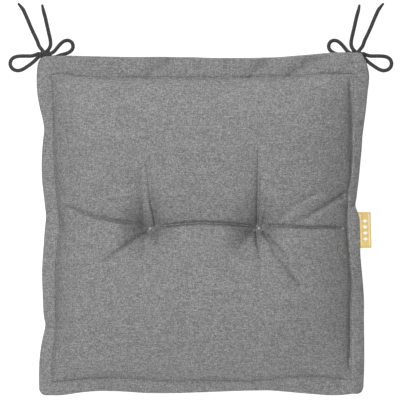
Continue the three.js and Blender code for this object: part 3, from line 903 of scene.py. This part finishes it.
def ring_of(grid, steps_out):
    """The closed line of grid points that runs round the flange so many steps out from the seam."""
    margin = len(FLANGE_STEPS)
    cut = slice(margin - steps_out, steps_out - margin)
    part = grid[cut, cut]
    return part.reshape(-1, 3)[rim(*part.shape[:2])]


def along_loop(loop, pitch, length):
    """Starts and ends of stitches of a length at a pitch round a closed line."""
    closed = np.concatenate([loop, loop[:1]])
    travelled = run_lengths(closed)
    count = int(travelled[-1] / pitch)
    at = np.arange(count) * travelled[-1] / count
    return points_at(at, travelled, closed), points_at(at + length, travelled, closed, period=travelled[-1])


def topstitching(name, grid, sign, material):
    starts, ends = along_loop(ring_of(grid, 1), STITCH_PITCH, STITCH_LENGTH)
    lift = np.array([0.0, 0.0, sign * STITCH_LIFT])
    return capsules(name, starts + lift, ends + lift, (0, 0, sign), STITCH_RADIUS, STITCH_SAG, material)


def edge_seam(upper, lower, material):
    """The hidden seam inside the flange: stitches between the panels, just inside the edge."""
    steps_out = len(FLANGE_STEPS) - 3
    starts, ends = along_loop(ring_of(upper, steps_out), EDGE_STITCH_PITCH, EDGE_STITCH_LENGTH)
    loop = ring_of(lower, steps_out)
    heights = np.array([height_at(loop, x, y) for x, y, z in starts])
    drop = (starts[:, 2] - heights) / 2
    starts[:, 2] -= drop
    ends[:, 2] -= drop
    return capsules("edge_seam_stitches", starts, ends, (0, 0, 1), 0.25 * MM, 0.05 * MM, material)


def height_at(grid, x, y):
    """Height of a grid's point nearest to a place in plan."""
    flat = grid.reshape(-1, 3)
    return flat[np.argmin(np.hypot(flat[:, 0] - x, flat[:, 1] - y))][2]


def tuft_stitch(side, upper, lower, material):
    """Strands that cross the pad at a tuft: short bars on top, the run through the pad, a knot beneath."""
    tuft = TUFTS[side]
    top, bottom = height_at(upper, tuft.x, tuft.y), height_at(lower, tuft.x, tuft.y)
    strands = []
    for k in range(-2, 3):
        shift = k * 0.42 * MM
        front = (tuft.x + shift, tuft.y - 2.3 * MM, top + 0.25 * MM)
        strands.append((front, (tuft.x + shift * 0.7, tuft.y + 2.3 * MM, top + 0.25 * MM), (0, 0, 1)))
    for k in range(2):
        x = tuft.x + (k - 0.5) * 0.8 * MM
        strands.append(((x, tuft.y, bottom - 0.5 * MM), (x, tuft.y, top + 0.3 * MM), (0, 1, 0)))
    for k in range(6):
        angle = k * math.pi / 6
        reach = Vector((math.cos(angle), math.sin(angle), 0)) * 1.9 * MM
        middle = Vector((tuft.x, tuft.y, bottom - 0.9 * MM))
        strands.append((middle - reach, middle + reach, (0, 0, -1)))
    name = f"tuft_stitch_{side}"
    return capsules(name, *zip(*strands), STITCH_RADIUS, 0.5 * MM, material, sides=8, rings=7)


TACK_STITCHES = 13


def bar_tack(side, material):
    """Close zigzag stitches that hold the folded cord to the underside of the flange."""
    low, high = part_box(f"tie_{side}_tack")
    starts, ends = [], []
    for k in range(TACK_STITCHES):
        x = low.x + (high.x - low.x) * (k + 0.5) / TACK_STITCHES
        lean = 0.25 * MM * (1 if k % 2 else -1)
        starts.append((x - lean, low.y + 0.3 * MM, low.z + 0.9 * MM))
        ends.append((x + lean, high.y - 0.3 * MM, low.z + 0.9 * MM))
    for y in (low.y + 1.3 * MM, (low.y + high.y) / 2, high.y - 1.3 * MM):
        starts.append((low.x + 0.3 * MM, y, high.z - 0.7 * MM))
        ends.append((high.x - 0.3 * MM, y, high.z - 0.7 * MM))
    return capsules(f"bar_tack_{side}", starts, ends, (0, 0, -1), 0.5 * MM, 0.5 * MM, material)


# ---- ties ----
# Routes of the left tie's two cords in millimetres, from the middle of the knot in plan. A third number is
# the height above the ground: a point without one lies on the ground. The right tie is the mirror image.
CORD_REST = 2.7  # height of the middle of a cord that lies on the ground
TIE_ROUTES = {
    "outer": [
        (-2.9, -13.5, 9.8), (-2.9, -13.2, 9), (-2.9, -11.8, 6.9), (-2.8, -8.4, 5.8), (-3, -4.8, 5.5),
        (-4.6, -1.2, 6.2), (-8, 0.2, 5.8), (-12, -1.2, 4.3), (-17.8, -2.7, 3), (-24, -2.8), (-32.4, -2.9),
        (-39.5, -3.9), (-44.6, -7), (-46.8, -12.2), (-45.6, -17.6), (-41.5, -21.4), (-35.4, -22.6),
        (-29.4, -20.6), (-22, -15.9), (-16.6, -12, 3), (-12.5, -8.3, 3.9), (-8.2, -4.1, 3.8),
        (-4.2, -0.6, 3.6), (-2.6, 2, 3.8), (-3, 4.8, 4.5), (-5, 7.4, 4.8), (-7.4, 10.7, 4.3),
        (-10.2, 18.1, 3), (-14.5, 27.1), (-19, 37), (-22.8, 46.2), (-26.5, 54.5), (-29.4, 60.5),
        (-33, 65.2), (-36.3, 69.1),
    ],
    "inner": [
        (2.9, -13.5, 9.8), (2.9, -13.2, 9), (2.9, -11.8, 6.9), (2.8, -8.4, 5.8), (2.7, -4.2, 5.3),
        (2.6, -1, 5.2), (4.9, 0.2, 5.7), (9.4, 1, 5.3), (13.8, 4.4, 3.9), (17.4, 8.9, 2.9), (22.2, 14.2),
        (27, 17.6), (32, 18.4), (36.5, 16), (38.6, 11.2), (37.4, 6.2), (33, 2.2), (26.4, -0.2),
        (20.3, -1.9, 2.9), (14, -4.4, 3.6), (7.7, -4.1, 4.1), (3.6, -1.4, 4.3), (1.8, 1.2, 5),
        (3.2, 3.8, 5.7), (5.3, 5.8, 5.8), (7.8, 10.9, 4.5), (8.1, 15.8, 3.3), (7.3, 21.3), (5.4, 29.5),
        (3, 40), (1, 49), (-1.6, 58.5), (-3.5, 67.5),
    ],
}
CORD_DIAMETER = 0.005
TAPER_LENGTH = 0.010  # the cut ends of the tails are drawn out over this length
TAPER_WIDTH = 0.6


def between(first, last, pair, at):
    """The point at a knot value on the straight line whose ends have the first and the last one."""
    return ((last - at) * pair[0] + (at - first) * pair[1]) / (last - first)


def fine_path(route, spacing):
    """A centripetal Catmull-Rom curve through the route's points, sampled at even spacing."""
    points = np.array(route, float)
    points = np.concatenate([2 * points[:1] - points[1:2], points, 2 * points[-1:] - points[-2:-1]])
    samples = []
    for p0, p1, p2, p3 in zip(points, points[1:], points[2:], points[3:]):
        gaps = [math.sqrt(np.linalg.norm(q - p)) for p, q in ((p0, p1), (p1, p2), (p2, p3))]
        knots = np.concatenate([[0], np.cumsum(gaps)])
        for at in np.linspace(knots[1], knots[2], 12, endpoint=False):
            level = [p0, p1, p2, p3]
            for wide in (1, 2):
                pairs = enumerate(zip(level, level[1:]))
                level = [between(knots[i], knots[i + wide], pair, at) for i, pair in pairs]
            samples.append(between(knots[1], knots[2], level, at))
    samples.append(points[-2])
    samples = np.array(samples)
    travelled = run_lengths(samples)
    even = np.linspace(0, travelled[-1], int(travelled[-1] / spacing) + 1)
    return points_at(even, travelled, samples)


BRAID_PITCH = 9 * MM  # length in which a strand goes once round the cord
BRAID_STRANDS = 8
BRAID_RELIEF = 0.055  # height of the strands as a share of the cord's radius
SIDES = 18
PATH_STEP = 0.62 * MM
END_ROUND = 0.35  # each end is rounded over this many diameters


def braided_tube(name, path, diameter, material, tapered=False):
    """A cord swept along a path, with the relief of a round braid. A tapered one thins at its far end."""
    tangent = np.gradient(path, axis=0)
    tangent /= np.linalg.norm(tangent, axis=1, keepdims=True)
    side = np.zeros_like(path)
    start = np.cross(tangent[0], (0.3, 0.2, 1.0))
    side[0] = start / np.linalg.norm(start)
    for k in range(1, len(path)):
        turned = side[k - 1] - tangent[k] * np.dot(side[k - 1], tangent[k])
        side[k] = turned / np.linalg.norm(turned)
    other = np.cross(tangent, side)
    travelled = run_lengths(path)
    angle = np.arange(SIDES) / SIDES * 2 * math.pi
    turn = 2 * math.pi * travelled[:, None] / BRAID_PITCH
    over = np.cos(BRAID_STRANDS / 2 * (angle[None] - turn))
    under = np.cos(BRAID_STRANDS / 2 * (angle[None] + turn))
    strand = np.maximum(over, under)
    radius = diameter / 2 * (1 + BRAID_RELIEF * strand)
    from_end = np.minimum(travelled, travelled[-1] - travelled)[:, None]
    radius = radius * np.sqrt(1 - np.clip(1 - from_end / (END_ROUND * diameter), 0, 1) ** 2 * 0.75)
    if tapered:
        left = np.minimum((travelled[-1] - travelled) / TAPER_LENGTH, 1)[:, None]
        radius = radius * (TAPER_WIDTH + (1 - TAPER_WIDTH) * left)
    ring = np.cos(angle)[None, :, None] * side[:, None] + np.sin(angle)[None, :, None] * other[:, None]
    points = (path[:, None] + ring * radius[..., None]).reshape(-1, 3)
    piece = add_mesh(name, points, tube_faces(len(path), SIDES), material)
    # the strand value also drives the cord's painted shade between strands and painted highlight on their
    # tops
    mark(piece, "strand", (strand + 1) / 2)
    return piece


KNOT_TURNS = 1.5
KNOT_HALF = (6.0 * MM, 3.6 * MM, 2.4 * MM)  # from the knot's middle to its outermost cord's middle


def knot_wrap(name, centre, mirror, material):
    """The turns of cord that bind a bow, wound round its middle."""
    half_x, half_y, half_z = KNOT_HALF
    u = np.linspace(-1, 1, 90)
    angle = u * KNOT_TURNS * math.pi + math.pi / 2
    x = centre.x + mirror * u * half_x
    y = half_y * np.cos(angle)
    z = half_z * np.sin(angle)
    tucked = 1 - 0.3 * step(0.75, 1, np.abs(u))
    path = np.stack([x, centre.y + y * tucked, centre.z + z * tucked], 1)
    return braided_tube(name, path, CORD_DIAMETER, material)


def make_tie(side, cord_look, thread_look):
    low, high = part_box(f"tie_{side}_knot")
    centre = (low + high) / 2
    mirror = 1 if side == "left" else -1
    body = f"tie_{side}"
    knot = knot_wrap(f"bow_knot_{side}", centre, mirror, cord_look)
    assign(knot, body, "tie_cord", f"tie_{side}_knot")
    for name, route in TIE_ROUTES.items():
        points = [(*point, CORD_REST)[:3] for point in route]
        placed = [(centre.x + mirror * x * MM, centre.y + y * MM, z * MM) for x, y, z in points]
        path = fine_path(placed, PATH_STEP)
        cord = braided_tube(f"tie_cord_{side}_{name}", path, CORD_DIAMETER, cord_look, tapered=True)
        solids = [f"tie_{side}_stem_{name}", f"tie_{side}_{name}_loop", f"tie_{side}_{name}_tail"]
        assign(cord, body, "tie_cord", *solids)
    assign(bar_tack(side, thread_look), "pad", "sewing_thread", f"tie_{side}_tack")


# ---- label ----
LABEL_TONGUE = 4.5 * MM  # how far the strip reaches in between the flange's layers
LABEL_LAYER = 0.38 * MM
LABEL_CURL = 0.5 * MM
LABEL_WAVE = (0.25 * MM, (0.031, 0.047), 5)  # height, wavelengths and seed


def label_material():
    material, tree, surface, place = new_material("gold_woven_label", 0.45, sheen=0.1)
    rows = noise_of(tree, place, (500, 2600, 500), detail=2)
    tone = noise_of(tree, place, (60, 60, 60), detail=3)
    value = scaled(tree, rows, 0.6, scaled(tree, tone, 0.5, 0.0))
    golds = [(0.3, (0.46, 0.315, 0.072)), (0.55, (0.645, 0.465, 0.14)), (0.8, (0.78, 0.61, 0.28))]
    gold = ramp_of(tree, value, golds)
    motif = node(tree, "ShaderNodeAttribute", attribute_name="motif").outputs["Fac"]
    mix = node(tree, "ShaderNodeMix", data_type="RGBA")
    tree.links.new(motif, mix.inputs["Factor"])
    tree.links.new(gold, mix.inputs["A"])
    mix.inputs["B"].default_value = (0.86, 0.83, 0.76, 1)
    tree.links.new(mix.outputs["Result"], surface.inputs["Base Color"])
    bump_of(tree, surface, rows, 0.1 * MM, 0.5)
    return material


def make_label(material):
    """A strip folded in two. It starts between the flange's layers and stands out past the edge."""
    low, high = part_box("side_label")
    middle_z = (low.z + high.z) / 2
    along = np.linspace(0, 1, 99)
    outward = np.concatenate([np.linspace(0, 1, 34), [1.0, 1.0, 1.0], np.linspace(1, 0, 34)])
    turn = np.concatenate([np.zeros(34), np.linspace(0, math.pi, 5)[1:-1], np.full(34, math.pi)])
    v, u = np.meshgrid(along, outward, indexing="ij")
    bend = np.broadcast_to(turn, u.shape)
    y = low.y + v * (high.y - low.y) - 0.4 * MM * (v - 0.5) * u
    root = side_x(1, RIGHT_EDGE, y) - LABEL_TONGUE
    tip = high.x - 0.8 * MM - 1.3 * MM * v
    x = root + (tip - root) * u + LABEL_HALF * np.sin(bend)
    curl = LABEL_CURL * u**2 * np.sin(2.2 * v + 0.4) + u * ripple(y, *LABEL_WAVE)
    z = middle_z + curl + LABEL_HALF * np.cos(bend)
    outer = np.stack([x, y, z], 2)
    inner = outer - grid_normals(outer) * LABEL_LAYER
    rows, columns = x.shape
    points = np.concatenate([outer.reshape(-1, 3), inner.reshape(-1, 3)])
    label = add_mesh("woven_label", points, shell_faces(rows, columns, True), material)
    edge = root + LABEL_TONGUE
    motif = label_motif(v, (x - edge) / np.maximum(tip - edge, 1e-6))
    mark(label, "motif", np.concatenate([motif, motif]))
    return label


def label_motif(v, w):
    """White woven decoration: a row of lozenges between two fine lines. v runs along, w out."""
    cell = (v * 6) % 1 - 0.5
    lozenge = np.abs(cell) / 0.36 + np.abs(w - 0.5) / 0.26
    inside = (v > 0.17) & (v < 0.83)
    shape = step(1.0, 0.75, lozenge) * inside
    lines = sum(step(0.045, 0.02, np.abs(w - place)) for place in (0.13, 0.87)) * (v > 0.06) * (v < 0.94)
    return np.clip(shape + lines * 0.7, 0, 1)


# ---- assembly ----
make_camera()
make_studio()
make_floor()

cloth_look = melange_cloth()
fibre_look = fibre_material()
# painted shade: this sewing thread is made much darker than the thread's own grey, to stand for the shade in
# the topstitching groove
thread_look = thread_material("sewing_thread_painted_shade", grey(0.045), grey(0.10))
tuft_look = thread_material("pale_tuft_thread", grey(0.38), grey(0.62))
cord_look = cord_material()
label_look = label_material()

for tie_side in ("left", "right"):
    make_tie(tie_side, cord_look, thread_look)

upper_grid, lower_grid = raw_pad(TOP_FINENESS * CELLS)[0], raw_pad(UNDER_FINENESS * CELLS)[1]
top_shift, under_shift = fill_pad(*raw_pad(CELLS))
upper_grid = moved(upper_grid, top_shift, TOP_FINENESS)
lower_grid = moved(lower_grid, under_shift, UNDER_FINENESS)
upper_grid, lower_grid = finish_pad(upper_grid, lower_grid)

top_panel = cloth_piece("top_panel", upper_grid, CLOTH, cloth_look, True)
bottom_panel = cloth_piece("bottom_panel", lower_grid, CLOTH, cloth_look, False)
filling = fill_piece(upper_grid, lower_grid, fibre_look)
for panel, cad_name in ((top_panel, "top_cover"), (bottom_panel, "bottom_cover")):
    assign(panel, "pad", "cover_fabric", cad_name)
assign(filling, "pad", "fill_fibre", "fibre_fill")

threads = {
    "topstitch_needle_thread": topstitching("topstitches_upper", upper_grid, 1, thread_look),
    "topstitch_bobbin_thread": topstitching("topstitches_under", lower_grid, -1, thread_look),
    "edge_seam_thread": edge_seam(upper_grid, lower_grid, thread_look),
    "tuft_thread_left": tuft_stitch("left", upper_grid, lower_grid, tuft_look),
    "tuft_thread_right": tuft_stitch("right", upper_grid, lower_grid, tuft_look),
}
for cad_name, piece in threads.items():
    assign(piece, "pad", "sewing_thread", cad_name)

label = make_label(label_look)
label_low, label_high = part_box("side_label")
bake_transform(label)
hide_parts("side_label")
